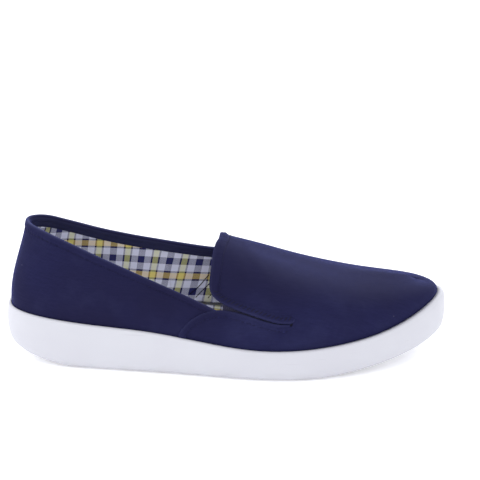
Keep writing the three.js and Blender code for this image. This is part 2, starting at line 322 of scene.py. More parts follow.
# plain weave: each crossing shows one thread over the other; Over is 1 where the warp is on top
def makeWeave():
    tree, n, given, out = shaderGroup(
        "plainWeave",
        [("Cloth", vectorKind, None), ("Threads per mm", floatKind, 1.5)],
        [("Height", floatKind), ("Over", floatKind), ("Slub", floatKind)],
    )
    wander = n.add("ShaderNodeTexNoise", {"Vector": given["Cloth"], "Scale": 0.35, "Detail": 2.0}).outputs[1]
    keys = {0: wander, 1: (0.5, 0.5, 0.5), 2: given["Cloth"]}
    moved = n.add("ShaderNodeVectorMath", keys, operation="MULTIPLY_ADD")
    scaled = n.add("ShaderNodeVectorMath", {0: moved, 3: given["Threads per mm"]}, operation="SCALE")
    parts = n.add("ShaderNodeSeparateXYZ", {0: scaled})
    swell = []
    for k in range(2):
        swell.append(n.math("ABSOLUTE", n.math("SINE", n.math("MULTIPLY", parts.outputs[k], math.pi))))
    over = n.add("ShaderNodeTexChecker", {"Vector": scaled.outputs[0], "Scale": 1.0}).outputs[1]
    warp = n.math("MULTIPLY", n.math("POWER", swell[0], 0.5), swell[1])
    weft = n.math("MULTIPLY", swell[0], n.math("POWER", swell[1], 0.5))
    under = n.math("MULTIPLY", weft, n.math("SUBTRACT", 1.0, over))
    height = n.math("ADD", n.math("MULTIPLY", warp, over), under)
    stretch = n.add("ShaderNodeMapping", {"Vector": scaled.outputs[0], "Scale": (0.12, 1.0, 1.0)})
    n.feed(out["Height"], height)
    n.feed(out["Over"], over)
    n.feed(out["Slub"], n.noise(stretch.outputs[0], 0.9, 2.0))
    return tree


# lint and dust: small pale specks, few and scattered
def makeLint():
    tree, n, given, out = shaderGroup(
        "lint",
        [("Place", vectorKind, None), ("Amount", floatKind, 0.3)],
        [("Specks", floatKind), ("Dust", floatKind)],
    )
    cells = n.add("ShaderNodeTexVoronoi", {"Vector": given["Place"], "Scale": 190.0, "Randomness": 1.0})
    dots = n.span(cells.outputs["Distance"], 0.05, 0.11, 1.0, 0.0)
    chance = n.add("ShaderNodeSeparateXYZ", {0: cells.outputs["Color"]}).outputs[0]
    chosen = n.math("GREATER_THAN", chance, 0.985)
    n.feed(out["Specks"], n.math("MULTIPLY", n.math("MULTIPLY", dots, chosen), given["Amount"]))
    cloud = n.span(n.noise(given["Place"], 26.0, 5.0, 0.6), 0.52, 0.75)
    n.feed(out["Dust"], n.math("MULTIPLY", cloud, given["Amount"], clamp=True))
    return tree


groups = {"weave": makeWeave(), "lint": makeLint()}


def newFinish(name):
    finish = bpy.data.materials.new(name)
    finish.use_nodes = True
    finish.node_tree.nodes.clear()
    n = Nodes(finish.node_tree)
    shader = n.add("ShaderNodeBsdfPrincipled")
    n.add("ShaderNodeOutputMaterial", {"Surface": shader})
    return finish, n, shader


def useGroup(n, key, **inputs):
    named = {name.replace("_", " "): value for name, value in inputs.items()}
    return n.add("ShaderNodeGroup", named, node_tree=groups[key])


def bump(n, shader, height, distance, strength=1.0, under=None):
    node = n.add("ShaderNodeBump", {"Height": height, "Distance": distance, "Strength": strength})
    if under is not None:
        n.feed(node.inputs["Normal"], under)
    n.feed(shader.inputs["Normal"], node.outputs[0])


canvasLook = {
    "navy": paint(33, 34, 72),
    "shade": paint(28, 26, 54),
    # pale colour of rubbed edges and of the painted highlight on the folds; dust pales towards it too
    "worn": paint(80, 84, 122),
    "lint": paint(125, 125, 148),
    "threadsPerMm": 1.45,
    "weaveDepth": 0.00010,
    "sheen": 0.42,
    "sheenTint": paint(95, 110, 225),
}


def makeCanvas(name):
    finish, n, shader = newFinish(name)
    cloth = n.add("ShaderNodeUVMap", uv_map="cloth").outputs[0]
    place = n.add("ShaderNodeTexCoord").outputs["Object"]
    weave = useGroup(n, "weave", Cloth=cloth, Threads_per_mm=canvasLook["threadsPerMm"])
    lint = useGroup(n, "lint", Place=place, Amount=0.5)
    worn = n.add("ShaderNodeAttribute", attribute_name="worn").outputs["Fac"]
    broad = n.span(n.noise(place, 14.0, 3.0), 0.35, 0.65)
    colour = n.mix(broad, canvasLook["shade"], canvasLook["navy"])
    raised = n.math("MULTIPLY", weave.outputs["Height"], 0.55)
    thread = n.math("ADD", raised, n.math("MULTIPLY", weave.outputs["Slub"], 0.5))
    # darker navy where the threads lie low: painted shade in the weave's hollows, and random slub in the yarn
    shadeAndSlubNavy = tuple(0.55 * c for c in canvasLook["navy"][:3]) + (1.0,)
    colour = n.mix(n.span(thread, 0.2, 0.85), shadeAndSlubNavy, colour)
    # edges go paler: partly real rubbing, partly a painted highlight along the tops of the folds; the facing
    # rows use this too
    colour = n.mix(n.math("MULTIPLY", worn, 0.55, clamp=True), colour, canvasLook["worn"])
    colour = n.mix(n.math("MULTIPLY", lint.outputs["Dust"], 0.16), colour, canvasLook["worn"])
    colour = n.mix(lint.outputs["Specks"], colour, canvasLook["lint"])
    n.feed(shader.inputs["Base Color"], colour)
    n.feed(shader.inputs["Roughness"], n.span(thread, 0.1, 0.9, 0.92, 0.74))
    shader.inputs["Specular IOR Level"].default_value = 0.08
    shader.inputs["Sheen Weight"].default_value = canvasLook["sheen"]
    shader.inputs["Sheen Roughness"].default_value = 0.25
    shader.inputs["Sheen Tint"].default_value = canvasLook["sheenTint"]
    rumple = {"Height": n.noise(place, 60.0, 3.0), "Distance": 0.0004, "Strength": 0.25}
    soft = n.add("ShaderNodeBump", rumple)
    bump(n, shader, weave.outputs["Height"], canvasLook["weaveDepth"], 0.6, soft.outputs[0])
    return finish


plaid = {
    "round": 18.3,  # one repeat along the shoe
    "up": 19.9,  # and one up the wall
    "shares": {"yellow": 0.19, "hairline": 0.06, "white": 0.23, "navy": 0.23},
    "threadsPerMm": 2.2,
    "colours": {
        "yellowRow": paint(240, 210, 112),
        "yellowColumn": paint(230, 230, 146),
        "white": paint(230, 233, 255),
        "hairline": paint(46, 42, 82),
        "navy": paint(40, 42, 98),
    },
    "yellowAtX": 106.3,  # a yellow stripe passes here on the inner side
    "yellowAtHeight": 36.5,
    "lean": 0.1,
    "climb": 0.04,  # the rows rise towards the heel
}


def stripes(n, coordinate, repeat, yellow):
    share = n.math("FRACT", n.math("DIVIDE", coordinate, repeat))
    ramp = n.add("ShaderNodeValToRGB", {0: share})
    ramp.color_ramp.interpolation = "CONSTANT"
    shares = plaid["shares"]
    bands = [(yellow, shares["yellow"] / 2)]
    for key in ("hairline", "white", "navy", "white", "hairline"):
        bands.append((key, shares[key]))
    bands.append((yellow, shares["yellow"] / 2))
    elements = ramp.color_ramp.elements
    position = 0.0
    for k, (key, width) in enumerate(bands):
        spot = elements[k] if k < 2 else elements.new(position)
        spot.position = position
        spot.color = plaid["colours"][key]
        position += width
    return ramp.outputs[0]


def makePlaid(name):
    finish, n, shader = newFinish(name)
    cloth = n.add("ShaderNodeUVMap", uv_map="cloth").outputs[0]
    place = n.add("ShaderNodeTexCoord").outputs["Object"]
    wander = n.add("ShaderNodeTexNoise", {"Vector": place, "Scale": 35.0, "Detail": 2.0}).outputs[1]
    moved = n.add("ShaderNodeVectorMath", {0: wander, 1: (0.9, 0.9, 0.0), 2: cloth}, operation="MULTIPLY_ADD")
    parts = n.add("ShaderNodeSeparateXYZ", {0: moved})
    weave = useGroup(n, "weave", Cloth=cloth, Threads_per_mm=plaid["threadsPerMm"])
    share = n.span(weave.outputs["Over"], 0.0, 1.0, 0.3, 0.7)
    rowColour = stripes(n, parts.outputs[1], plaid["up"], "yellowRow")
    columnColour = stripes(n, parts.outputs[0], plaid["round"], "yellowColumn")
    colour = n.mix(share, rowColour, columnColour)
    shade = n.span(weave.outputs["Height"], 0.0, 0.9, 0.94, 1.0)
    dark = n.add("ShaderNodeCombineColor", {0: shade, 1: shade, 2: shade}).outputs[0]
    colour = n.mix(1.0, colour, dark, "MULTIPLY")
    n.feed(shader.inputs["Base Color"], colour)
    n.feed(shader.inputs["Roughness"], n.span(weave.outputs["Height"], 0.0, 1.0, 0.95, 0.8))
    shader.inputs["Specular IOR Level"].default_value = 0.2
    shader.inputs["Sheen Weight"].default_value = 0.15
    bump(n, shader, weave.outputs["Height"], 0.00006, 0.6)
    return finish


rubberLook = {
    "white": paint(194, 195, 202),
    "grey": paint(186, 185, 194),
    "dirt": paint(140, 135, 130),
    "scuff": paint(174, 172, 182),
}


def makeRubber(name, wearing):
    finish, n, shader = newFinish(name)
    place = n.add("ShaderNodeTexCoord").outputs["Object"]
    height = n.add("ShaderNodeSeparateXYZ", {0: place}).outputs[2]
    cloud = n.span(n.noise(place, 22.0, 4.0), 0.4, 0.7)
    colour = n.mix(n.math("MULTIPLY", cloud, 0.3), rubberLook["white"], rubberLook["grey"])
    # fine slanting scuffs, mostly low on the wall
    keys = {"Vector": place, "Rotation": (0.0, 0.7, 0.3), "Scale": (30.0, 200.0, 900.0)}
    turned = n.add("ShaderNodeMapping", keys)
    streak = n.span(n.noise(turned.outputs[0], 1.0, 2.0), 0.66, 0.78)
    patch = n.span(n.noise(place, 30.0, 2.0), 0.5, 0.62)
    scuffed = n.math("MULTIPLY", n.math("MULTIPLY", streak, patch), wearing, clamp=True)
    colour = n.mix(scuffed, colour, rubberLook["scuff"])
    ground = n.span(height, 0.0, 0.006, 1.0, 0.0)
    smear = n.span(n.noise(place, 70.0, 5.0), 0.4, 0.7)
    grime = n.math("MULTIPLY", n.math("MULTIPLY", ground, smear), wearing, clamp=True)
    colour = n.mix(n.math("MULTIPLY", grime, 0.5), colour, rubberLook["dirt"])
    n.feed(shader.inputs["Base Color"], colour)
    n.feed(shader.inputs["Roughness"], n.span(n.noise(place, 90.0, 3.0), 0.3, 0.7, 0.42, 0.6))
    shader.inputs["Specular IOR Level"].default_value = 0.4
    keys = {"Height": n.noise(place, 1500.0, 2.0), "Distance": 0.00004, "Strength": 0.5}
    grain = n.add("ShaderNodeBump", keys)
    bump(n, shader, scuffed, -0.00005, 0.5, grain.outputs[0])
    return finish


def makeElastic():
    finish, n, shader = newFinish("goreElastic")
    cloth = n.add("ShaderNodeUVMap", uv_map="cloth").outputs[0]
    fine = n.noise(cloth, 2.4, 3.0)
    n.feed(shader.inputs["Base Color"], n.mix(n.span(fine, 0.3, 0.7), paint(24, 22, 42), paint(40, 38, 66)))
    n.feed(shader.inputs["Roughness"], n.span(fine, 0.3, 0.7, 0.95, 0.8))
    shader.inputs["Sheen Weight"].default_value = 0.3
    shader.inputs["Sheen Tint"].default_value = canvasLook["sheenTint"]
    bump(n, shader, fine, 0.00012, 0.5)
    return finish


def makeThread(name, colour, gloss=0.6):
    finish, n, shader = newFinish(name)
    place = n.add("ShaderNodeTexCoord").outputs["Object"]
    keys = {"Vector": place, "Scale": 900.0, "Distortion": 2.0}
    twist = n.add("ShaderNodeTexWave", keys, bands_direction="DIAGONAL")
    dark = tuple(0.6 * c for c in colour[:3]) + (1.0,)
    n.feed(shader.inputs["Base Color"], n.mix(twist.outputs[1], dark, colour))
    n.feed(shader.inputs["Roughness"], n.span(twist.outputs[1], 0.0, 1.0, gloss + 0.15, gloss))
    shader.inputs["Specular IOR Level"].default_value = 0.1
    return finish


finishes = {
    "canvas": makeCanvas("navyCanvas"),
    "plaid": makePlaid("plaidLining"),
    "rubber": makeRubber("whiteRubber", 0.5),
    "tread": makeRubber("treadRubber", 1.0),
    "elastic": makeElastic(),
    "thread": makeThread("navyThread", paint(32, 32, 64)),
    "barThread": makeThread("barThread", paint(28, 27, 52)),
    "darkThread": makeThread("darkThread", paint(22, 20, 34)),
    "sock": makePlaid("plaidSock"),
}
print("finishes made")

# edges seen from the side, as rows of (x, height) in mm
heelHeight = 82.6
throatTop = 70.8
collarOuter = smoothLine([
    (-20, heelHeight + 1), (10, heelHeight), (18, heelHeight - 1), (26, 79.6), (35, 76.8), (46, 73),
    (62, 67), (76, 61.8), (95, 54.6), (114, 47.6), (126, 43), (131, 41), (140, 36.5), (170, 30),
])
collarInner = smoothLine([
    (-20, heelHeight + 1), (10, heelHeight), (18, heelHeight - 1), (26, 79.4), (37, 75), (55, 68.8),
    (74, 64.3), (92, 61.3), (108, 58.9), (122, 56.8), (130, 55.7), (140, 51), (170, 43),
])
wingOuter = [
    (104.5, 12), (107, 21), (109, 26.5), (112.2, 31.4), (117, 35.8), (123, 39.2), (129, 41), (134, 41.6),
]
wingInner = [
    (109, 12), (112, 22), (114, 29), (116.7, 37.2), (120.2, 44.9), (124.8, 52), (130, 56), (135, 56.2),
]
slitLowOuter = [(140, 41), (147, 39.7), (154, 37.9), (161, 36.1), (168, 34.9), (173.5, 35)]
slitLowInner = [(141, 55), (148, 53.4), (156, 51.3), (165, 49.2)]
flapOuter = [
    (176.8, 38), (175.4, 36.5), (172.4, 35.9), (167.5, 36.2), (160.5, 37.7), (153.5, 39.7), (146, 41.7),
    (139, 43.8), (133.4, 45.8), (130, 47.6), (127.7, 49.9), (126.5, 53.2), (126.5, 57.5), (127, 62),
    (127.5, 66.4),
]
flapInner = [
    (167.5, 50.4), (165.6, 49.6), (163.4, 49.9), (156, 53.4), (148.2, 57.1), (140.6, 60.7), (135.2, 63.2),
    (131.8, 65.4), (130.4, 67.6),
]


# the share of each rib at which it crosses the collar
def collarShare(t, line):
    v = np.linspace(0.02, 1, 300)
    p = skin(t[:, None], v[None, :])
    over = p[..., 2] - np.interp(p[..., 0], line[:, 0], line[:, 1])
    after = np.maximum(np.argmax(over > 0, axis=1), 1)
    row = np.arange(len(t))
    a, b = over[row, after - 1], over[row, after]
    return v[after - 1] + (v[after] - v[after - 1]) * np.clip(-a / (b - a), 0, 1)


def collarAt(t):
    return np.where(t >= 0, collarShare(t, collarOuter), collarShare(t, collarInner))


# place on the lining and canvas, in mm: u round the shoe, v up
contourT = np.linspace(-toeT, toeT, 1201)
contour = skin(contourT, np.full(contourT.shape, 0.45))
contourStep = np.linalg.norm(np.diff(contour, axis=0), axis=1)
contourLength = np.concatenate([[0], np.cumsum(contourStep)])
contourLength -= np.interp(0, contourT, contourLength)
contourTangent = unit(np.gradient(contour, axis=0))


def roundTheShoe(t, points):
    middle = np.stack([np.interp(t, contourT, contour[:, k]) for k in range(3)], -1)
    tangent = np.stack([np.interp(t, contourT, contourTangent[:, k]) for k in range(3)], -1)
    return np.interp(t, contourT, contourLength) + ((points - middle) * tangent).sum(-1)


quarter = {
    "endT": 5.62,  # sections from the heel to the front edge, under the vamp
    "around": 460,
    "skirt": 3.4,  # how far the canvas goes down inside the sole
    "hemStitch": 4.6,
    "facingPale": 0.35,  # the facing rows are drawn a little paler than the canvas
    "thick": 0.85,
    "liningTop": 1.5,
}
# d: distance below the collar edge; h: height above the last; last: how much paler the edge is, partly real
# rubbing and partly a painted highlight along the top of the fold
hemRows = [
    (9, 0, 0), (7.6, 0, 0), (6.4, 0, 0), (5.6, 0, 0), (5.1, -0.03, 0), (4.85, -0.12, 0), (4.6, -0.2, 0),
    (4.35, -0.08, 0), (4.1, 0.14, 0), (3.8, 0.3, 0), (3.2, 0.4, 0), (2.2, 0.44, 0), (1.3, 0.44, 0.05),
    (0.6, 0.36, 0.2), (0.2, 0.2, 0.5), (-0.08, -0.06, 0.9), (-0.24, -0.45, 1), (-0.28, -0.9, 0.8),
    (-0.2, -1.4, 0.4), (0.02, -1.85, 0.1), (0.45, -2.2, 0),
]
facingRows = [(1.2, -2.42), (2.4, -2.48), (3.2, -2.46), (3.45, -2.36), (3.6, -2.2), (3.85, -2.24), (5, -2.3),
              (6.8, -2.28), (7.4, -2.2), (7.6, -2.05), (7.4, -1.95)]
innerRows = [(5, -1.92), (2.4, -1.86), (1.2, -1.7), (0.8, -1.35), (1.1, -0.95), (2.4, -0.88), (5, -0.85),
             (9, -0.85)]


def quarterPuckers(t, d):
    wave = np.sin(t * 41) + 0.6 * np.sin(t * 67 + 1.3) + 0.5 * np.sin(t * 103 + 0.4)
    return 0.09 * wave * np.exp(-(((d - 4.2) / 2.2) ** 2))


# soft hollows and swellings: [t, v, along, up, height in mm]
quarterForms = [
    (0.0, 0.3, 0.9, 0.25, 0.25), (1.9, 0.5, 0.7, 0.2, -0.2), (3.2, 0.3, 0.8, 0.2, 0.22),
    (4.3, 0.28, 0.35, 0.12, -0.25), (4.75, 0.1, 0.2, 0.08, 0.5), (-2.0, 0.45, 0.7, 0.25, -0.25),
    (-3.3, 0.3, 0.9, 0.2, 0.2), (-4.4, 0.25, 0.4, 0.12, -0.2),
]


def softForms(forms, t, v):
    total = 0.0
    for t0, v0, along, up, height in forms:
        total = total + height * np.exp(-(((t - t0) / along) ** 2) - ((v - v0) / up) ** 2)
    return total


def makeQuarters():
    t = np.linspace(-quarter["endT"], quarter["endT"], quarter["around"])
    edge = collarAt(t)
    speed = np.linalg.norm(skin(t, edge) - skin(t, edge - 0.02), axis=-1) / 0.02
    points, cloth, worn = [], [], []

    def row(v, h, palingAndHighlight=0.0, ripple=0.0):
        p = skin(t, v) + skinNormal(t, v) * (np.asarray(h) + ripple)[..., None]
        points.append(p)
        cloth.append(np.stack([roundTheShoe(t, p), v * speed], -1))
        worn.append(np.full(t.shape, palingAndHighlight))

    def skirtRow(depth, h):
        p = footAt(t, h, -depth)
        points.append(p)
        cloth.append(np.stack([roundTheShoe(t, p), np.full(t.shape, -depth)], -1))
        worn.append(np.zeros(t.shape))

    hemV = edge - hemRows[0][0] / speed
    for depth in (quarter["skirt"], quarter["skirt"] / 2):
        skirtRow(depth, 0.0)
    for share in np.linspace(0, 1, 22)[:-1]:
        v = share * hemV
        row(v, softForms(quarterForms, t, v) * smoothStep(0, 0.06, v))
    for d, h, palingAndHighlight in hemRows:
        v = edge - d / speed
        row(v, softForms(quarterForms, t, v) * smoothStep(0, 5, d) + h, palingAndHighlight, quarterPuckers(t, d))
    for d, h in facingRows + innerRows:
        row(edge - d / speed, np.full(t.shape, h), quarter["facingPale"])
    for share in np.linspace(1, 0, 8)[1:]:
        row(share * hemV, np.full(t.shape, -quarter["thick"]))
    for depth in (quarter["skirt"] / 2, quarter["skirt"]):
        skirtRow(depth, -quarter["thick"])
    grid = np.stack(points, 1)
    parts = Parts()
    parts.grid(grid, np.stack(cloth, 1), np.stack(worn, 1), wrapColumns=True, caps=True)
    parts.piece("quarters", finishes["canvas"], "canvas", replaces=["upper"], outside=True)
    return t, edge, speed


vamp = {
    "fromT": 4.25,
    "rows": 250,
    "columns": 141,
    "skirtShare": 0.06,
    "skirtDepth": 3.4,
    "ridgeShare": 0.09,
    "height": 0.5,  # how far it lies over the quarters
    "thick": 0.8,
    "setBack": 1.2,  # the hems cover its cut edge
}
tLine = np.linspace(vamp["fromT"], toeT, vamp["rows"])
wLine = np.linspace(-vamp["skirtShare"], 2 + vamp["skirtShare"], vamp["columns"])


# one side of the vamp surface; share under 0 goes down inside the sole
def sideSkin(t, share):
    above = skin(t, np.clip(share, 0, 1))
    depth = np.clip(-share, 0, 1) / vamp["skirtShare"] * vamp["skirtDepth"]
    above[..., 2] -= depth
    return above


def vampSurface():
    t = tLine[:, None] + 0 * wLine[None, :]
    w = wLine[None, :] + 0 * tLine[:, None]
    outer = sideSkin(t, np.minimum(w, 1))
    inner = sideSkin(sectionCount - t, np.minimum(2 - w, 1))
    points = np.where((w <= 1)[..., None], outer, inner)
    # the two sides join over the ridge in one smooth curve
    k = vamp["ridgeShare"]
    near = np.abs(wLine - 1) < k
    s = ((wLine[near] - (1 - k)) / (2 * k))[None, :, None]
    step = 0.01
    ends = [skin(tLine, 1 - k), skin(sectionCount - tLine, 1 - k)]
    slopes = [
        (ends[0] - skin(tLine, 1 - k - step)) / step * 2 * k,
        (skin(sectionCount - tLine, 1 - k - step) - ends[1]) / step * 2 * k,
    ]
    h00, h10 = 2 * s**3 - 3 * s**2 + 1, s**3 - 2 * s**2 + s
    h01, h11 = -2 * s**3 + 3 * s**2, s**3 - s**2
    joined = (h00 * ends[0][:, None] + h10 * slopes[0][:, None] + h01 * ends[1][:, None]
              + h11 * slopes[1][:, None])
    toeShare = smoothStep(9.1, 9.9, tLine)[:, None, None]
    points[:, near] = points[:, near] * toeShare + joined * (1 - toeShare)
    along = np.gradient(points, tLine, axis=0)
    across = np.gradient(points, wLine, axis=1)
    normals = unit(np.cross(along, across))
    normals[-1] = unit(normals[-1] + normals[-1, ::-1])
    return points, normals, along, across


vampPoints, vampNormals, vampAlong, vampAcross = vampSurface()


# point, normal and directions of the vamp surface at t and w (w from 0 on the outer side to 2 on the inner)
def vampAt(t, w):
    i = np.clip((np.asarray(t) - tLine[0]) / (tLine[1] - tLine[0]), 0, len(tLine) - 1.001)
    j = np.clip((np.asarray(w) - wLine[0]) / (wLine[1] - wLine[0]), 0, len(wLine) - 1.001)
    i0, j0 = i.astype(int), j.astype(int)
    a, b = (i - i0)[..., None], (j - j0)[..., None]
    out = []
    for field in (vampPoints, vampNormals, vampAlong, vampAcross):
        low = field[i0, j0] * (1 - b) + field[i0, j0 + 1] * b
        high = field[i0 + 1, j0] * (1 - b) + field[i0 + 1, j0 + 1] * b
        out.append(low * (1 - a) + high * a)
    out[1] = unit(out[1])
    return out


# where a line seen from the side lies on the vamp, as t and w
def onVamp(line, inner=False):
    columns = np.nonzero(wLine > 1.02 if inner else wLine < 0.98)[0]
    side = vampPoints[:, columns]
    found = []
    for x, z in line:
        i, j = np.unravel_index(np.argmin((side[..., 0] - x) ** 2 + (side[..., 2] - z) ** 2), side.shape[:2])
        t, w = tLine[i], wLine[columns[j]]
        for _ in range(5):
            p, _, along, across = vampAt(t, w)
            matrix = np.array([[along[0], across[0]], [along[2], across[2]]])
            if abs(np.linalg.det(matrix)) < 1.0:
                break
            dt, dw = np.linalg.solve(matrix, [x - p[0], z - p[2]])
            t = np.clip(t + np.clip(dt, -0.1, 0.1), tLine[0], tLine[-1])
            w = np.clip(w + np.clip(dw, -0.03, 0.03), wLine[0], wLine[-1])
        found.append((t, w))
    return np.array(found)


# signed distance in the side view from a region given by its edge, positive outside it
def clearOf(region, points):
    x, z = points[..., 0], points[..., 2]
    a, b = region, np.roll(region, -1, axis=0)
    nearest = np.full(x.shape, 1e9)
    inside = np.zeros(x.shape, bool)
    for (ax, az), (bx, bz) in zip(a, b):
        length = max((bx - ax) ** 2 + (bz - az) ** 2, 1e-12)
        share = np.clip(((x - ax) * (bx - ax) + (z - az) * (bz - az)) / length, 0, 1)
        nearest = np.minimum(nearest, np.hypot(x - ax - share * (bx - ax), z - az - share * (bz - az)))
        crosses = (az > z) != (bz > z)
        inside ^= crosses & (x < (bx - ax) * (z - az) / (bz - az if bz != az else 1e-12) + ax)
    return np.where(inside, -nearest, nearest)


def offVamp(wing, slitLow, flap, tip):
    front = smoothLine(wing + slitLow, 6)
    back = smoothLine(flap[2:] + [(128.6, 70.5), (130.4, throatTop + 1)], 6)
    return np.concatenate([front, [tip], back, [(130.4, 130), (-40, 130), (-40, 0), (104, 0)]])


def vampClear(points):
    outer = clearOf(offVamp(wingOuter, slitLowOuter, flapOuter, (174, 35.6)), points)
    inner = clearOf(offVamp(wingInner, slitLowInner, flapInner, (166, 49.6)), points)
    return np.where(wLine[None, :] <= 1, outer, inner)


# a grid cut along the line where keep passes zero
def trimmed(points, cloth, keep):
    rows, columns = keep.shape
    keep = keep.ravel()
    flat = [points.reshape(-1, 3), cloth.reshape(-1, 2)]
    quads = np.array(gridFaces(rows, columns))
    # the last row is the toe rib, seen from both sides
    top = (rows - 1) * columns
    mirrored = np.arange(len(keep))
    mirrored[top + columns // 2 + 1:] = top + columns - 1 - np.arange(columns // 2 + 1, columns)
    quads = mirrored[quads]
    inside = keep[quads] > 0
    faces = quads[inside.all(1)].tolist()
    extra, extraAt = [], {}

    def cut(a, b):
        key = (min(a, b), max(a, b))
        if key not in extraAt:
            share = keep[key[0]] / (keep[key[0]] - keep[key[1]])
            extraAt[key] = len(keep) + len(extra)
            extra.append([field[key[0]] * (1 - share) + field[key[1]] * share for field in flat])
        return extraAt[key]

    for quad in quads[inside.any(1) & ~inside.all(1)]:
        face = []
        for a, b in zip(quad, np.roll(quad, -1)):
            if keep[a] > 0:
                face.append(int(a))
            if (keep[a] > 0) != (keep[b] > 0) and a != b:
                face.append(cut(int(a), int(b)))
        face = list(dict.fromkeys(face))
        if len(face) > 2:
            faces.append(face)
    faces = [list(dict.fromkeys(face)) for face in faces]
    faces = [face for face in faces if len(face) > 2]
    allPoints = np.concatenate([flat[0], [e[0] for e in extra]])
    allCloth = np.concatenate([flat[1], [e[1] for e in extra]])
    used = np.unique(np.concatenate([np.array(face) for face in faces]))
    place = np.full(len(allPoints), -1)
    place[used] = np.arange(len(used))
    return allPoints[used], allCloth[used], [[int(place[k]) for k in face] for face in faces]


# soft creases and swellings of the vamp: [t, w, along, up, height in mm]
vampForms = [
    (7.1, 0.6, 0.9, 0.3, 0.35), (6.5, 0.22, 0.18, 0.12, -0.3), (6.9, 0.28, 0.14, 0.1, 0.22),
    (8.3, 0.5, 0.5, 0.35, -0.18),
    (7.3, 1.4, 0.8, 0.3, 0.3), (6.4, 0.62, 0.12, 0.25, 0.22), (6.15, 0.6, 0.1, 0.22, -0.18),
    (7.9, 0.2, 0.3, 0.1, 0.2), (4.95, 0.06, 0.12, 0.06, 0.5),
]


def vampHeight(t, w):
    low = smoothStep(0, 0.07, w) * smoothStep(0, 0.07, 2 - w)
    ridge = 0.5 * np.exp(-(((w - 1) / 0.35) ** 2)) * smoothStep(5.9, 6.6, t) * (1 - smoothStep(9.2, 9.8, t))
    return 0.1 + (vamp["height"] - 0.1 + softForms(vampForms, t, w) + ridge) * low


# place on the vamp's canvas, in mm: u back from the toe, v down from the ridge; alike on both sides
def vampCloth(points):
    fromToe = []
    for pick in (0.35, 1.65):
        line = vampPoints[:, np.argmin(np.abs(wLine - pick))]
        steps = np.concatenate([[0], np.cumsum(np.linalg.norm(np.diff(line, axis=0), axis=1))])
        fromToe.append(steps[-1] - steps)
    share = np.clip(wLine / 2, 0, 1)[None, :]
    u = fromToe[0][:, None] * (1 - share) + fromToe[1][:, None] * share
    steps = np.linalg.norm(np.diff(points, axis=1), axis=2)
    across = np.concatenate([np.zeros((len(points), 1)), np.cumsum(steps, axis=1)], 1)
    return np.stack([u, np.abs(across - across[:, [np.argmin(np.abs(wLine - 1))]])], -1)


def thicken(piece, thick):
    shell = piece.modifiers.new("thickness", "SOLIDIFY")
    shell.thickness = thick / 1000
    shell.offset = -1


def makeVamp():
    t = tLine[:, None] + 0 * wLine[None, :]
    w = wLine[None, :] + 0 * tLine[:, None]
    points = vampPoints + vampNormals * vampHeight(t, w)[..., None]
    cloth = vampCloth(vampPoints)
    keep = vampClear(vampPoints) - vamp["setBack"]
    points, cloth, faces = trimmed(points, cloth, keep)
    thicken(newPiece("vamp", points, faces, finishes["canvas"], "canvas", cloth), vamp["thick"])


# hems are strips folded over an edge of the vamp
# d: distance in from the edge; h: height above the last; rows go round the fold, as a closed loop
hemProfiles = {
    "wing": [
        (-0.1, 0.0), (-0.3, 0.3), (-0.26, 0.66), (0.0, 0.94), (0.5, 1.1), (1.4, 1.18), (2.4, 1.15),
        (3.1, 1.02), (3.5, 0.8), (3.75, 0.5), (3.9, 0.25), (3.2, 0.05), (1.6, -0.05), (0.4, -0.1),
    ],
    "slit": [
        (0.1, -0.2), (-0.3, 0.05), (-0.42, 0.45), (-0.2, 0.85), (0.4, 1.1), (1.3, 1.2), (2.4, 1.18),
        (3.1, 1.06), (3.5, 0.82), (3.75, 0.5), (3.9, 0.2), (3.2, -0.1), (1.6, -0.35), (0.6, -0.35),
    ],
    "flap": [
        (0.3, -0.55), (-0.2, -0.3), (-0.45, 0.25), (-0.3, 0.85), (0.2, 1.2), (1.2, 1.42),
        (2.6, 1.42), (3.7, 1.25), (4.3, 0.92), (4.6, 0.55), (4.8, 0.2), (4.0, -0.2), (2.0, -0.55),
        (1.0, -0.65),
    ],
    "throat": [
        (0.1, -1.9), (-0.4, -1.4), (-0.6, -0.6), (-0.4, 0.15), (0.2, 0.55), (1.6, 0.85),
        (3.4, 0.95), (4.8, 0.9), (5.5, 0.76), (5.9, 0.5), (6.1, 0.2), (6.0, -2.1), (3.6, -2.5),
        (1.2, -2.4),
    ],
}


# evenly spaced stations along a t, w path over the vamp
def alongVamp(path, spacing=0.8):
    fine = smoothLine(path, 24)
    p = vampAt(fine[:, 0], fine[:, 1])[0]
    length = np.concatenate([[0], np.cumsum(np.linalg.norm(np.diff(p, axis=0), axis=1))])
    stations = np.linspace(0, length[-1], max(int(length[-1] / spacing), 4))
    return np.stack([np.interp(stations, length, fine[:, k]) for k in range(2)], -1), stations


# the t, w step that moves 1 mm square to the path over the surface, to its left or right
def squareStep(path, side):
    p, normal, along, across = vampAt(path[:, 0], path[:, 1])
    forward = unit(np.gradient(p, axis=0))
    sideways = unit(np.cross(normal, forward)) * side
    aa, bb, ab = (along**2).sum(-1), (across**2).sum(-1), (along * across).sum(-1)
    pa, pb = (sideways * along).sum(-1), (sideways * across).sum(-1)
    det = aa * bb - ab**2
    return np.stack([(pa * bb - pb * ab) / det, (pb * aa - pa * ab) / det], -1)


def besideVamp(path, step, d, h):
    moved = path[:, None] + step[:, None] * np.asarray(d)[..., None]
    p, normal, _, _ = vampAt(moved[..., 0], moved[..., 1])
    return p + normal * np.asarray(h)[..., None]


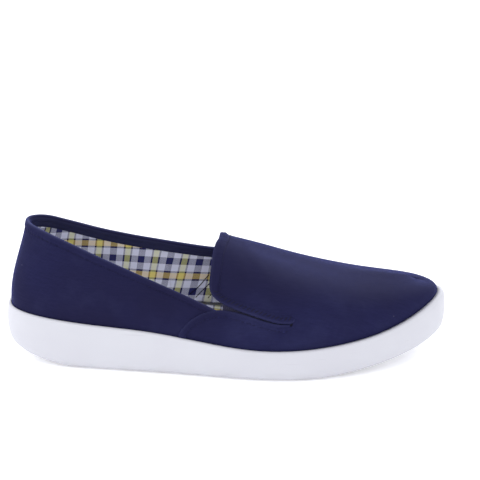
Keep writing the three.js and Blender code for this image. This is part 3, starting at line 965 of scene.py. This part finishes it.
# profile blends from one hem profile to another along the path; width scales it; sink lowers its ends
def addHem(parts, path, side, profileA, profileB=None, blend=None, width=None, pucker=0.05,
           sinkStart=0.0, sinkEnd=0.0):
    stations, length = alongVamp(path)
    step = squareStep(stations, side)
    a = np.array(hemProfiles[profileA])[None]
    b = np.array(hemProfiles[profileB or profileA])[None]
    share = (np.zeros(len(length)) if blend is None else blend(length / length[-1]))[:, None, None]
    profile = a * (1 - share) + b * share
    scale = np.ones(len(length)) if width is None else width(length / length[-1])
    ripple = pucker * (np.sin(length * 1.75) + 0.7 * np.sin(length * 0.83 + 1) + 0.6 * np.sin(length * 2.6))
    d = profile[..., 0] * scale[:, None]
    h = profile[..., 1] + ripple[:, None] * smoothStep(0, 1.5, profile[..., 0])
    reach = 3.5  # mm over which an end sinks
    sink = sinkStart * (1 - smoothStep(0, reach, length))
    sink = sink + sinkEnd * smoothStep(length[-1] - reach, length[-1], length)
    points = besideVamp(stations, step, d, h - sink[:, None])
    # a painted highlight along the top of the fold, with a little real rubbing
    palingAndHighlight = np.exp(-((d / 0.7) ** 2)) * smoothStep(0.1, 0.9, h) * 0.15
    cloth = np.stack([np.broadcast_to(length[:, None], d.shape), d], -1)
    parts.grid(points, cloth, palingAndHighlight, wrapColumns=True, caps=True)
    return stations, step, length


wingPaths = {False: onVamp(wingOuter + slitLowOuter), True: onVamp(wingInner + slitLowInner, True)}
# w and x of the throat's edge over the ridge
throatAcross = [(0.84, 127.9), (0.93, 128.9), (1.0, 130.4), (1.07, 130.4), (1.15, 130)]
throatPath = []
for share, x in throatAcross:
    ridgeColumn = np.argmin(np.abs(wLine - share))
    throatPath.append((np.interp(x, vampPoints[:, ridgeColumn, 0], tLine), wLine[ridgeColumn]))
flapPath = np.concatenate([onVamp(flapOuter), throatPath, onVamp(flapInner, True)[::-1]])


def makeHems():
    parts = Parts()
    rows = {}

    def wingBlend(share):
        return smoothStep(0.42, 0.6, share)

    for inner, path in wingPaths.items():
        made = addHem(parts, path, 1 if inner else -1, "wing", "slit", wingBlend, pucker=0.17, sinkEnd=0.9)
        rows["wingInner" if inner else "wingOuter"] = made

    def throatBlend(share):
        return smoothStep(0.3, 0.4, share) * (1 - smoothStep(0.62, 0.72, share))

    # the hem narrows where it turns each corner of the flap
    def cornerDip(share, corner):
        return 0.15 * np.exp(-(((share - corner) / 0.05) ** 2))

    def flapWidth(share):
        return 1 - cornerDip(share, 0.32) - cornerDip(share, 0.7)

    made = addHem(parts, flapPath, -1, "flap", "throat", throatBlend, flapWidth, sinkStart=1.0, sinkEnd=1.0)
    rows["flap"] = made
    parts.piece("hems", finishes["canvas"], "canvas", outside=True)
    return rows


lining = {
    "depth": 1.9,
    "thick": 0.4,
    "around": 260,
    "up": 26,
    "throatSetBack": 0.8,
    "joinT": 4.35,  # where the rear lining ends under the front one
    "skirt": 4.5,
}


def plaidPlace(t, points):
    u = roundTheShoe(t, points)
    sign = np.where(t < 0, -1.0, 1.0)
    lean = plaid["lean"] * (points[..., 2] - plaid["yellowAtHeight"]) * sign
    climb = plaid["climb"] * (points[..., 0] - plaid["yellowAtX"])
    return np.stack([u - lean, points[..., 2] + climb], -1)


def yellowStart():
    innerT = np.linspace(-5.5, -3, 400)
    x = skin(innerT, np.full(innerT.shape, 0.45))[:, 0]
    t = np.interp(-plaid["yellowAtX"], -x, innerT)
    return np.interp(t, contourT, contourLength), plaid["yellowAtHeight"]


def makeLining():
    parts = Parts()
    start = np.array(yellowStart())
    t = np.linspace(-lining["joinT"], lining["joinT"], lining["around"])
    edge = collarAt(t)
    speed = np.linalg.norm(skin(t, edge) - skin(t, edge - 0.02), axis=-1) / 0.02
    top = edge - quarter["liningTop"] / speed
    share = np.linspace(0, 1, lining["up"])
    v = share[None, :] * top[:, None]
    tt = t[:, None] + 0 * v
    points = skin(tt, v) - skinNormal(tt, v) * lining["depth"]
    skirt = footAt(t, -lining["depth"], -lining["skirt"])
    points = np.concatenate([skirt[:, None], points], 1)
    cloth = plaidPlace(t[:, None] + 0 * points[..., 0], points) - start
    faces = [face[::-1] for face in gridFaces(*points.shape[:2])]
    parts.add(points, faces, cloth)
    rear = parts.piece("lining_rear", finishes["plaid"], "canvas")
    thicken(rear, lining["thick"])

    front = vampPoints - vampNormals * (lining["depth"] - 0.02)
    signedT = np.where(wLine[None, :] <= 1, 1.0, -1.0) * tLine[:, None]
    cloth = plaidPlace(signedT, front) - start
    outerRim = collarOuter[collarOuter[:, 0] < 131] - (0, quarter["liningTop"])
    innerRim = collarInner[collarInner[:, 0] < 129] - (0, quarter["liningTop"])
    outerStep = [(133.2, 39.8), (134, 42.5), (134, 45)]
    outerLine = np.concatenate([outerRim, outerStep, smoothLine(flapOuter[8:], 6)])
    innerLine = np.concatenate([innerRim, [(130.2, 56)], smoothLine(flapInner[7:], 6)])
    keep = []
    for line in (outerLine, innerLine):
        region = np.concatenate([line, [(128.6, 70.5), (130.6, throatTop + 1), (130.6, 130), (-40, 130)]])
        keep.append(clearOf(region, vampPoints))
    keep = np.where(wLine[None, :] <= 1, keep[0], keep[1]) - lining["throatSetBack"]
    points, cloth, faces = trimmed(front, cloth, keep)
    piece = newPiece("lining_front", points, [f[::-1] for f in faces], finishes["plaid"], "canvas", cloth)
    thicken(piece, lining["thick"])


gore = {
    "outer": {
        "t": (5.25, 6.85),
        "w": (0.13, 0.5),
        "shape": [(132.4, 36.6), (133.8, 41), (134.3, 46), (137, 49.5), (178, 39), (178, 31.5), (160, 32)],
    },
    "inner": {
        "t": (5.1, 6.7),
        "w": (0.3, 0.82),
        "shape": [(127.5, 49.2), (131.5, 65.4), (135, 67.6), (169, 52.5), (169, 46.5)],
    },
    "depth": 0.95,
    "rib": 1.15,
    "ribHeight": 0.16,
    "thick": 0.45,
}


def makeGore(key, replaced):
    spec = gore[key]
    t = np.linspace(*spec["t"], 300)[:, None]
    v = np.linspace(*spec["w"], 60)[None, :]
    tt, vv = np.broadcast_arrays(t, v)
    w = vv if key == "outer" else 2 - vv
    p, normal, _, _ = vampAt(tt, w)
    ribs = np.cos(2 * math.pi * (p[..., 0] + 0.25 * p[..., 2]) / gore["rib"])
    points = p - normal * (gore["depth"] - gore["ribHeight"] * ribs)[..., None]
    region = np.array(spec["shape"], float)
    keep = -clearOf(region, p)
    cloth = np.stack([p[..., 0], p[..., 2]], -1)
    points, cloth, faces = trimmedOpen(points, cloth, keep)
    if key == "inner":
        faces = [face[::-1] for face in faces]
    name = "gore_" + key + "_elastic"
    piece = newPiece(name, points, faces, finishes["elastic"], "elastic", cloth, replaces=[replaced])
    thicken(piece, gore["thick"])


def trimmedOpen(points, cloth, keep):
    # a spare row keeps the toe's mirror rule of trimmed() away from this patch
    pad = [np.concatenate([field, field[-1:]]) for field in (points, cloth)]
    return trimmed(pad[0], pad[1], np.concatenate([keep, np.full((1, keep.shape[1]), -1.0)]))


sole = {
    "around": 420,
    "cupDepth": 8.0,
    "cupGap": 0.3,
    "treadInset": -7.0,
    "treadRise": 2.7,
    "wall": [(0, 0, -6.5), (0, 0.5, -3.4), (0, 1.7, -1.4), (0, 4.2, 0), (0.4, 1.5, 0.9), (0.75, 0, 0.7),
             (1, -1.6, 0.1), (1, -0.5, -0.5), (1, -0.1, -1.4)],  # share of the height, lift, out
}


def treadHeight(t):
    return np.maximum(0, column("base", t))


# joins each point of a ring with its partner on the other side, in rungs of several points
def ladder(ringPoints, rungs):
    half = len(ringPoints) // 2
    left = ringPoints[: half + 1]
    right = ringPoints[(-np.arange(half + 1)) % len(ringPoints)]
    share = np.linspace(0, 1, rungs)[None, :, None]
    return left[:, None] * (1 - share) + right[:, None] * share


def makeSole():
    t = np.linspace(0, sectionCount, sole["around"], endpoint=False)
    lip = column("lip", t)
    base = treadHeight(t)
    rings = []
    inset = sole["treadInset"]
    for inset, lift in ((inset, sole["treadRise"]), (inset, 0.5), (inset + 0.2, 0.1)):
        p = footAt(t, lip + inset)
        p[:, 2] = base + lift
        rings.append(p)
    for share, lift, out in smoothLine(sole["wall"], 4):
        p = footAt(t, lip + out)
        p[:, 2] = base + (p[:, 2] - base) * share + lift
        p[:, 2] = np.maximum(p[:, 2], base)
        rings.append(p)
    for up in (-0.25, -sole["cupDepth"] / 2, -sole["cupDepth"]):
        rings.append(footAt(t, sole["cupGap"], up))
    parts = Parts()
    parts.grid(np.stack(rings, 1), wrapRows=True)
    parts.grid(ladder(rings[0], 3))
    parts.grid(ladder(rings[-1], 3))
    parts.piece("cupsole", finishes["rubber"], "rubber", replaces=["sole"], outside=True)


tread = {
    "grooveX": [24, 34, 56, 66, 126, 136, 146, 172, 182, 192, 202, 212],
    "depth": 2.0,
    "width": 3.4,
    "draft": 0.25,
    "margin": 10.0,
    "sweep": 5.0,  # how far forward the point of each groove lies
    "gap": 0.25,
    "clear": 0.4,  # no other row of points this close to a groove
    "heelFade": 14,  # the sweep grows over this length from the heel end
    "toeFade": (22, 4),  # and fades between these distances from the toe end
}


def makeTread():
    t = np.linspace(0, toeT, 900)
    inset = sole["treadInset"] - tread["gap"]
    outer = footAt(t, column("lip", t) + inset)
    innerT = sectionCount - t
    inner = footAt(innerT, column("lip", innerT) + inset)
    outer[:, 2], inner[:, 2] = treadHeight(t), treadHeight(innerT)
    low, high = outer[0, 0], outer[-1, 0]
    turn = np.linspace(0, math.pi, 150)
    x = list(low + 0.02 + (high - low - 0.04) * (1 - np.cos(turn)) / 2)
    for groove in tread["grooveX"]:
        half = tread["width"] / 2
        x = [value for value in x if abs(value - groove) > half + tread["clear"]]
        x += [groove - half, groove - half + tread["draft"], groove + half - tread["draft"], groove + half]
    x = np.array(sorted(x))
    shadeAndSlubNavy = np.zeros(len(x), bool)
    for groove in tread["grooveX"]:
        shadeAndSlubNavy |= np.abs(x - groove) < tread["width"] / 2 - tread["draft"] / 2
    sides = []
    for line in (outer, inner):
        sides.append(np.stack([np.interp(x, line[:, 0], line[:, k]) for k in range(3)], -1))
    wide = np.maximum(sides[1][:, 1] - sides[0][:, 1], 0.1)
    margin = np.minimum(tread["margin"] / wide, 0.3)[:, None]
    across = np.linspace(0, 1, 15)
    outerEdge = margin * across[None, :-1:3]
    middle = margin + (1 - 2 * margin) * across[None]
    innerEdge = 1 - margin * across[None, ::-3][:, 1:]
    slant = tread["draft"] / wide[:, None]
    grooveEnds = [margin + slant, 1 - margin - slant]
    shares = np.sort(np.concatenate([outerEdge, middle, innerEdge] + grooveEnds, 1), 1)
    between = np.clip((shares - margin) / (1 - 2 * margin), 0, 1)
    sweep = tread["sweep"] * (1 - np.abs(2 * between - 1))
    toeFar, toeNear = tread["toeFade"]
    fade = smoothStep(low, low + tread["heelFade"], x) * (1 - smoothStep(high - toeFar, high - toeNear, x))
    cutHere = (between > 0.002) & (between < 0.998) & shadeAndSlubNavy[:, None]
    bottom = sides[0][:, None] * (1 - shares[..., None]) + sides[1][:, None] * shares[..., None]
    bottom[..., 0] += sweep * fade[:, None]
    top = bottom.copy()
    top[..., 2] += sole["treadRise"] - tread["gap"]
    bottom[..., 2] += tread["depth"] * cutHere
    parts = Parts()
    parts.grid(bottom)
    parts.grid(top)
    for end in (0, -1):
        parts.grid(np.stack([bottom[:, end], top[:, end]], 1))
    for end in (0, -1):
        parts.grid(np.stack([bottom[end], top[end]], 1))
    parts.piece("tread", finishes["tread"], "rubber", outside=True, smooth=False)


insole = {
    "inset": 2.2,
    "thick": 3.2,
    "gap": 0.3,
    "round": 0.9,
    "crown": 0.9,
    "heelHollow": {"x": 40, "reach": 26, "depth": 0.8},
    "around": 240,
    "rungs": 25,
}


def makeInsole():
    t = np.linspace(0, sectionCount, insole["around"], endpoint=False)
    floorUp = insole["gap"] - sole["cupDepth"]
    rings = [footAt(t, -insole["inset"] - 0.5, floorUp), footAt(t, -insole["inset"] - 0.1, floorUp + 0.3)]
    rings.append(footAt(t, -insole["inset"], floorUp + insole["thick"] / 2))
    for turn in np.linspace(0, math.pi / 2, 6):
        inset = insole["inset"] + insole["round"] * (1 - math.cos(turn))
        lift = insole["thick"] - insole["round"] * (1 - math.sin(turn))
        rings.append(footAt(t, -inset, floorUp + lift))
    grid = np.stack(rings, 1)
    parts = Parts()
    parts.grid(grid, grid[..., :2], wrapRows=True)
    top = ladder(rings[-1], insole["rungs"])
    share = np.linspace(0, 1, insole["rungs"])[None, :]
    span = np.linalg.norm(top[:, 0] - top[:, -1], axis=-1)[:, None]
    crown = insole["crown"] * (1 - np.abs(2 * share - 1) ** 2.5) * smoothStep(0, 45, span)
    hollow = insole["heelHollow"]
    nearHeel = np.exp(-(((top[..., 0] - hollow["x"]) / hollow["reach"]) ** 2))
    top[..., 2] += crown + -hollow["depth"] * nearHeel * (1 - np.abs(2 * share - 1) ** 2)
    parts.grid(top, top[..., :2])
    under = ladder(rings[0], 3)
    parts.grid(under, under[..., :2])
    piece = parts.piece("insole_pad", finishes["sock"], "sock", replaces=["insole"], outside=True)


# a row of thread: path edges become a curve, sampled by spacing, with a low, long bead on each point
def makeSewing():
    tree = bpy.data.node_groups.new("sewnRow", "GeometryNodeTree")
    face = tree.interface
    face.new_socket("Path", in_out="INPUT", socket_type="NodeSocketGeometry")
    for key in ("Spacing", "Length", "Width", "Slant", "Wander"):
        face.new_socket(key, in_out="INPUT", socket_type=floatKind)
    face.new_socket("Seed", in_out="INPUT", socket_type="NodeSocketInt")
    face.new_socket("Thread", in_out="INPUT", socket_type="NodeSocketMaterial")
    face.new_socket("Stitches", in_out="OUTPUT", socket_type="NodeSocketGeometry")
    n = Nodes(tree)
    given = n.add("NodeGroupInput").outputs
    curve = n.add("GeometryNodeMeshToCurve", {0: given["Path"]})
    even = n.add("GeometryNodeResampleCurve", {"Curve": curve, "Length": given["Spacing"]}, mode="LENGTH")
    lift = n.add("GeometryNodeInputNamedAttribute", {"Name": "lift"}, data_type="FLOAT_VECTOR")
    tangent = n.add("GeometryNodeInputTangent")
    lying = n.add("FunctionNodeAlignRotationToVector", {"Vector": tangent}, axis="X")
    keys = {"Rotation": lying, "Vector": lift.outputs[0]}
    upright = n.add("FunctionNodeAlignRotationToVector", keys, axis="Z", pivot_axis="X")
    low = n.math("MULTIPLY", given["Wander"], -1.0)
    keys = {"Min": low, "Max": given["Wander"], "Seed": given["Seed"]}
    chance = n.add("FunctionNodeRandomValue", keys, data_type="FLOAT")
    turn = n.math("ADD", given["Slant"], chance.outputs["Value"])
    euler = n.add("ShaderNodeCombineXYZ", {2: turn})
    keys = {"Rotation": upright, "Rotate By": euler}
    slanted = n.add("FunctionNodeRotateRotation", keys, rotation_space="LOCAL")
    bead = n.add("GeometryNodeMeshUVSphere", {"Segments": 6, "Rings": 5, "Radius": 0.5})
    size = n.add("ShaderNodeCombineXYZ", {0: given["Length"], 1: given["Width"], 2: given["Width"]})
    keys = {"Points": even, "Instance": bead, "Rotation": slanted, "Scale": size}
    placed = n.add("GeometryNodeInstanceOnPoints", keys)
    solid = n.add("GeometryNodeRealizeInstances", {0: placed})
    shaded = n.add("GeometryNodeSetShadeSmooth", {0: solid})
    finished = n.add("GeometryNodeSetMaterial", {"Geometry": shaded, "Material": given["Thread"]})
    n.feed(n.add("NodeGroupOutput").inputs[0], finished)
    return tree


sewing = makeSewing()


# lines: a list of (points, normals) in mm; sizes in mm, slant in degrees
def sewRow(name, lines, spacing, length, width, slant=0.0, wander=4.0, thread="thread"):
    points, lifts, edges = [], [], []
    for line, normals in lines:
        first = len(points)
        points += toFrame(line).tolist()
        lifts += np.asarray(normals).tolist()
        edges += [(first + k, first + k + 1) for k in range(len(line) - 1)]
    path = bpy.data.meshes.new(name)
    path.from_pydata(points, edges, [])
    lift = path.attributes.new("lift", "FLOAT_VECTOR", "POINT")
    lift.data.foreach_set("vector", np.array(lifts, np.float32).ravel())
    maker = bpy.data.objects.new(name + "_path", path)
    bpy.context.scene.collection.objects.link(maker)
    modifier = maker.modifiers.new("sewing", "NODES")
    modifier.node_group = sewing
    values = {
        "Spacing": spacing / 1000,
        "Length": length / 1000,
        "Width": width / 1000,
        "Slant": math.radians(slant),
        "Wander": math.radians(wander),
        "Seed": seed,
        "Thread": finishes[thread],
    }
    for item in sewing.interface.items_tree:
        if item.in_out == "INPUT" and item.name in values:
            modifier[item.identifier] = values[item.name]
    depsgraph = bpy.context.evaluated_depsgraph_get()
    mesh = bpy.data.meshes.new_from_object(maker.evaluated_get(depsgraph))
    mesh.name = name
    bpy.data.objects.remove(maker)
    piece = bpy.data.objects.new(name, mesh)
    bpy.context.scene.collection.objects.link(piece)
    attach(piece, "root")


def collarLine(t, edge, speed, d, h, low, high):
    use = (t > low) & (t < high)
    v = (edge - d / speed)[use]
    normal = skinNormal(t[use], v)
    return skin(t[use], v) + normal * h, normal


def vampLine(rows, key, d, h, low=0.0, high=1.0):
    stations, step, length = rows[key]
    share = length / length[-1]
    use = (share >= low) & (share <= high)
    moved = stations[use] + step[use] * d
    p, normal, _, _ = vampAt(moved[:, 0], moved[:, 1])
    return p + normal * h, normal


def liningLine(line, inner):
    path = onVamp(line, inner)
    stations, _ = alongVamp(path)
    p, normal, _, _ = vampAt(stations[:, 0], stations[:, 1])
    return p - normal * (lining["depth"] + 0.05), -normal


# spacing, length and width of each row's stitches, in mm
stitches = {
    "collar": (2.1, 1.7, 0.4),
    "wing": (2.1, 1.7, 0.42),
    "throat": (2.3, 1.8, 0.45),
    "flap": (2.4, 3.3, 0.75),
    "lining": (1.4, 1.8, 0.7),
}


def sewAll(t, edge, speed, rows):
    reach = quarter["endT"] - 0.35
    collar = [collarLine(t, edge, speed, quarter["hemStitch"], -0.08, -reach, reach)]
    sewRow("stitches_collar", collar, *stitches["collar"])
    wing = [vampLine(rows, key, 3.62, 0.72, 0.08, 0.97) for key in ("wingOuter", "wingInner")]
    sewRow("stitches_wing", wing, *stitches["wing"])
    throat = [vampLine(rows, "flap", 5.75, 0.62, 0.33, 0.7)]
    sewRow("stitches_throat", throat, *stitches["throat"])
    bars = [vampLine(rows, "flap", 2.5, 1.42, 0.02, 0.33), vampLine(rows, "flap", 2.5, 1.42, 0.71, 0.98)]
    sewRow("stitches_flap", bars, *stitches["flap"], slant=52, wander=9, thread="barThread")
    folds = [[(121.4, 36.5), (115.3, 28.9), (110.5, 24.6)], [(122.6, 31.4), (117.2, 25.8), (114, 22.6)]]
    folds.append([(121.6, 21.9), (123.8, 24), (127, 25.6)])
    lines = [liningLine(line, True) for line in folds]
    sewRow("stitches_lining", lines, *stitches["lining"], wander=3, thread="darkThread")


studio = {
    "floorReach": 4.0,  # metres
    "floorGlow": 0.25,
    "worldStrength": 1.2,
    "aim": (0, 0, 0.04),
    # name, place, size, power in watts, colour
    "lamps": [
        ("behind", (0.7, 1.5, 0.7), 1.0, 11, (0.9, 0.93, 1.0)),
        ("front", (-0.8, -1.4, 0.5), 1.2, 3, (1.0, 0.99, 0.98)),
        ("heel", (-1.4, 0.4, 0.6), 0.8, 5, (0.95, 0.97, 1.0)),
    ],
}


def makeStage():
    mesh = bpy.data.meshes.new("floor")
    r = studio["floorReach"]
    mesh.from_pydata([(-r, -r, 0), (r, -r, 0), (r, r, 0), (-r, r, 0)], [], [(0, 1, 2, 3)])
    floor = bpy.data.objects.new("floor", mesh)
    bpy.context.scene.collection.objects.link(floor)
    finish, _, shader = newFinish("paleFloor")
    shader.inputs["Base Color"].default_value = (0.96, 0.96, 0.97, 1.0)
    shader.inputs["Roughness"].default_value = 0.9
    shader.inputs["Emission Color"].default_value = (1.0, 1.0, 1.0, 1.0)
    shader.inputs["Emission Strength"].default_value = studio["floorGlow"]
    mesh.materials.append(finish)
    world = bpy.data.worlds.new("studio")
    world.use_nodes = True
    sky = world.node_tree.nodes["Background"].inputs
    sky["Color"].default_value = (1.0, 1.0, 1.02, 1.0)
    sky["Strength"].default_value = studio["worldStrength"]
    bpy.context.scene.world = world
    bpy.context.scene.view_settings.view_transform = "Standard"
    for name, place, size, power, colour in studio["lamps"]:
        lamp = bpy.data.objects.new(name, bpy.data.lights.new(name, "AREA"))
        lamp.data.size = size
        lamp.data.energy = power
        lamp.data.color = colour
        lamp.location = place
        aim = Vector(studio["aim"]) - Vector(place)
        lamp.rotation_euler = aim.to_track_quat("-Z", "Y").to_euler()
        bpy.context.scene.collection.objects.link(lamp)


collarT, collarEdge, collarSpeed = makeQuarters()
print("quarters made")
makeVamp()
hemRowsMade = makeHems()
print("vamp and hems made")
makeLining()
makeGore("outer", "gore_outer")
makeGore("inner", "gore_inner")
print("lining and gores made")
makeSole()
makeTread()
makeInsole()
print("sole, tread and insole made")
sewAll(collarT, collarEdge, collarSpeed, hemRowsMade)
print("stitches sewn")
makeStage()
